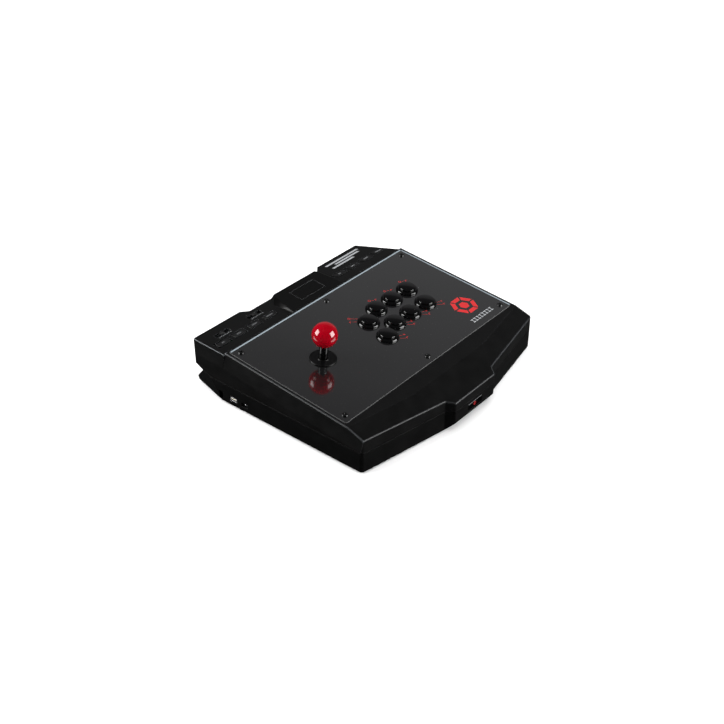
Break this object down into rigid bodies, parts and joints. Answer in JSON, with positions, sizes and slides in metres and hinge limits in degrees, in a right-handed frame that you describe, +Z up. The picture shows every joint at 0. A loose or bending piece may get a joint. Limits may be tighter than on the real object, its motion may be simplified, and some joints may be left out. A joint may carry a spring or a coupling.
{
  "type": "arcade joystick panel",
  "caption": "Desk-top arcade controller: ball-top lever and domed push buttons on a sloping panel in an opening two-part case, with function keys, slide switches and a touchpad.",
  "frame": {"origin": "on the desk, under the middle of the case's bounding box", "axes": "+Z up, +X to the player's right, -Y towards the player"},
  "size_m": [0.392, 0.3548, 0.1321],
  "materials": {
    "case_black": "fine-textured satin black moulded plastic",
    "case_lid": "fine-textured satin black moulded plastic",
    "cover_grey": "satin-gloss dark grey printed sheet",
    "black_steel": "black coated steel plate",
    "zinc_steel": "zinc plated steel",
    "screw_black": "black oxide screws",
    "bright_metal": "bright plated sheet metal",
    "foot_rubber": "soft black rubber",
    "block_black": "deep black moulded plastic of the touchpad block",
    "board_green": "green circuit board",
    "switch_black": "black switch housings",
    "gloss_black": "polished black button plastic",
    "ball_red": "polished red ball",
    "washer_black": "smooth black plastic",
    "latch_plastic": "black moulded plastic",
    "gate_plastic": "pale moulded plastic",
    "key_plastic": "black keys",
    "pad_plastic": "smooth matt black pad",
    "print_red": "red screen-printed marks",
    "print_grey": "light grey screen-printed marks",
    "clear_edge": "polished cut edge of the clear cover sheet",
    "contact_gold": "gold plated contacts"
  },
  "bodies": {
    "base": {"lower_shell": "case_black", "base_plate": "zinc_steel", "base_plate_screws": "zinc_steel", "rubber_feet": "foot_rubber", "main_board": "board_green", "board_screws": "zinc_steel", "usb_a_socket": "bright_metal", "usb_c_socket": "bright_metal", "hinge_base_leaves": "black_steel", "hinge_pins": "zinc_steel", "latch_spring": "zinc_steel"},
    "latch": {"release_button": "latch_plastic", "latch_hook": "latch_plastic"},
    "lid": {"upper_shell": "case_lid", "mounting_plate": "black_steel", "panel_cover": "cover_grey", "panel_screws": "screw_black", "hinge_lid_leaves": "black_steel", "lid_striker": "zinc_steel", "button_housings": "gloss_black", "button_nuts": "gloss_black", "button_switches": "switch_black", "stick_mount_plate": "zinc_steel", "stick_screws": "zinc_steel", "stick_body": "switch_black", "stick_switches": "switch_black", "stick_board": "board_green", "restrictor_gate": "gate_plastic", "touchpad_block": "block_black", "tact_switches": "switch_black", "function_boards": "board_green", "slide_switches": "bright_metal"},
    "pivot": {"pivot_ring": "gate_plastic"},
    "stick": {"stick_shaft": "zinc_steel", "shaft_sleeve": "gloss_black", "ball_top": "ball_red", "lever_spring": "zinc_steel", "stick_actuator": "switch_black", "shaft_clip": "zinc_steel"},
    "lower_washer": {"lower_dust_washer": "washer_black"},
    "upper_washer": {"dust_washer": "washer_black"},
    "button_1": {"button_plunger_1": "gloss_black"},
    "button_2": {"button_plunger_2": "gloss_black"},
    "button_3": {"button_plunger_3": "gloss_black"},
    "button_4": {"button_plunger_4": "gloss_black"},
    "button_5": {"button_plunger_5": "gloss_black"},
    "button_6": {"button_plunger_6": "gloss_black"},
    "button_7": {"button_plunger_7": "gloss_black"},
    "button_8": {"button_plunger_8": "gloss_black"},
    "key_left_1": {"function_key_left_1": "key_plastic"},
    "key_left_2": {"function_key_left_2": "key_plastic"},
    "key_left_3": {"function_key_left_3": "key_plastic"},
    "key_left_4": {"function_key_left_4": "key_plastic"},
    "key_right_1": {"function_key_right_1": "key_plastic"},
    "key_right_2": {"function_key_right_2": "key_plastic"},
    "key_right_3": {"function_key_right_3": "key_plastic"},
    "key_right_4": {"function_key_right_4": "key_plastic"},
    "slider_1": {"slide_knob_1": "key_plastic"},
    "slider_2": {"slide_knob_2": "key_plastic"},
    "pad": {"touchpad": "pad_plastic"}
  },
  "joints": [
    {"name": "lid_hinge", "type": "hinge", "parent": "base", "child": "lid", "pos_m": [0, 0.1602, 0.0336], "axis": [-1, 0, 0], "range_deg": [0, 60]},
    {"name": "release_press", "type": "slide", "parent": "base", "child": "latch", "axis": [0, 1, 0], "range_m": [0, 0.003], "stiffness_N_per_m": 600},
    {"name": "stick_tilt_x", "type": "hinge", "parent": "lid", "child": "pivot", "pos_m": [-0.107, 0.00574, 0.04922], "axis": [1, 0, 0], "range_deg": [-8, 8], "stiffness_Nm_per_rad": 0.6},
    {"name": "stick_tilt_y", "type": "hinge", "parent": "pivot", "child": "stick", "pos_m": [-0.107, 0.00574, 0.04922], "axis": [0, 0.9953, 0.0969], "range_deg": [-8, 8], "stiffness_Nm_per_rad": 0.6},
    {"name": "washer_slide_u", "type": "slide", "parent": "lid", "child": "lower_washer", "axis": [1, 0, 0], "range_m": [-0.0037, 0.0037]},
    {"name": "washer_slide_v", "type": "slide", "parent": "lower_washer", "child": "upper_washer", "axis": [0, 0.9953, 0.0969], "range_m": [-0.0037, 0.0037]},
    {"name": "button_press_1", "type": "slide", "parent": "lid", "child": "button_1", "axis": [0, 0.0969, -0.9953], "range_m": [0, 0.0026], "stiffness_N_per_m": 400},
    {"name": "button_press_2", "type": "slide", "parent": "lid", "child": "button_2", "axis": [0, 0.0969, -0.9953], "range_m": [0, 0.0026], "stiffness_N_per_m": 400},
    {"name": "button_press_3", "type": "slide", "parent": "lid", "child": "button_3", "axis": [0, 0.0969, -0.9953], "range_m": [0, 0.0026], "stiffness_N_per_m": 400},
    {"name": "button_press_4", "type": "slide", "parent": "lid", "child": "button_4", "axis": [0, 0.0969, -0.9953], "range_m": [0, 0.0026], "stiffness_N_per_m": 400},
    {"name": "button_press_5", "type": "slide", "parent": "lid", "child": "button_5", "axis": [0, 0.0969, -0.9953], "range_m": [0, 0.0026], "stiffness_N_per_m": 400},
    {"name": "button_press_6", "type": "slide", "parent": "lid", "child": "button_6", "axis": [0, 0.0969, -0.9953], "range_m": [0, 0.0026], "stiffness_N_per_m": 400},
    {"name": "button_press_7", "type": "slide", "parent": "lid", "child": "button_7", "axis": [0, 0.0969, -0.9953], "range_m": [0, 0.0026], "stiffness_N_per_m": 400},
    {"name": "button_press_8", "type": "slide", "parent": "lid", "child": "button_8", "axis": [0, 0.0969, -0.9953], "range_m": [0, 0.0026], "stiffness_N_per_m": 400},
    {"name": "key_press_left_1", "type": "slide", "parent": "lid", "child": "key_left_1", "axis": [0, 0.0461, -0.9989], "range_m": [0, 0.0008], "stiffness_N_per_m": 800},
    {"name": "key_press_left_2", "type": "slide", "parent": "lid", "child": "key_left_2", "axis": [0, 0.0461, -0.9989], "range_m": [0, 0.0008], "stiffness_N_per_m": 800},
    {"name": "key_press_left_3", "type": "slide", "parent": "lid", "child": "key_left_3", "axis": [0, 0.0461, -0.9989], "range_m": [0, 0.0008], "stiffness_N_per_m": 800},
    {"name": "key_press_left_4", "type": "slide", "parent": "lid", "child": "key_left_4", "axis": [0, 0.0461, -0.9989], "range_m": [0, 0.0008], "stiffness_N_per_m": 800},
    {"name": "key_press_right_1", "type": "slide", "parent": "lid", "child": "key_right_1", "axis": [0, 0.0461, -0.9989], "range_m": [0, 0.0008], "stiffness_N_per_m": 800},
    {"name": "key_press_right_2", "type": "slide", "parent": "lid", "child": "key_right_2", "axis": [0, 0.0461, -0.9989], "range_m": [0, 0.0008], "stiffness_N_per_m": 800},
    {"name": "key_press_right_3", "type": "slide", "parent": "lid", "child": "key_right_3", "axis": [0, 0.0461, -0.9989], "range_m": [0, 0.0008], "stiffness_N_per_m": 800},
    {"name": "key_press_right_4", "type": "slide", "parent": "lid", "child": "key_right_4", "axis": [0, 0.0461, -0.9989], "range_m": [0, 0.0008], "stiffness_N_per_m": 800},
    {"name": "slider_move_1", "type": "slide", "parent": "lid", "child": "slider_1", "axis": [1, 0, 0], "range_m": [-0.0035, 0.0035]},
    {"name": "slider_move_2", "type": "slide", "parent": "lid", "child": "slider_2", "axis": [1, 0, 0], "range_m": [-0.0035, 0.0035]},
    {"name": "pad_press", "type": "slide", "parent": "lid", "child": "pad", "axis": [0, 0.0969, -0.9953], "range_m": [0, 0.0004], "stiffness_N_per_m": 2500}
  ],
  "couplings": [
    {"joint": "washer_slide_u", "follows": "stick_tilt_y", "m_per_rad": 0.0257},
    {"joint": "washer_slide_v", "follows": "stick_tilt_x", "m_per_rad": -0.0257}
  ]
}
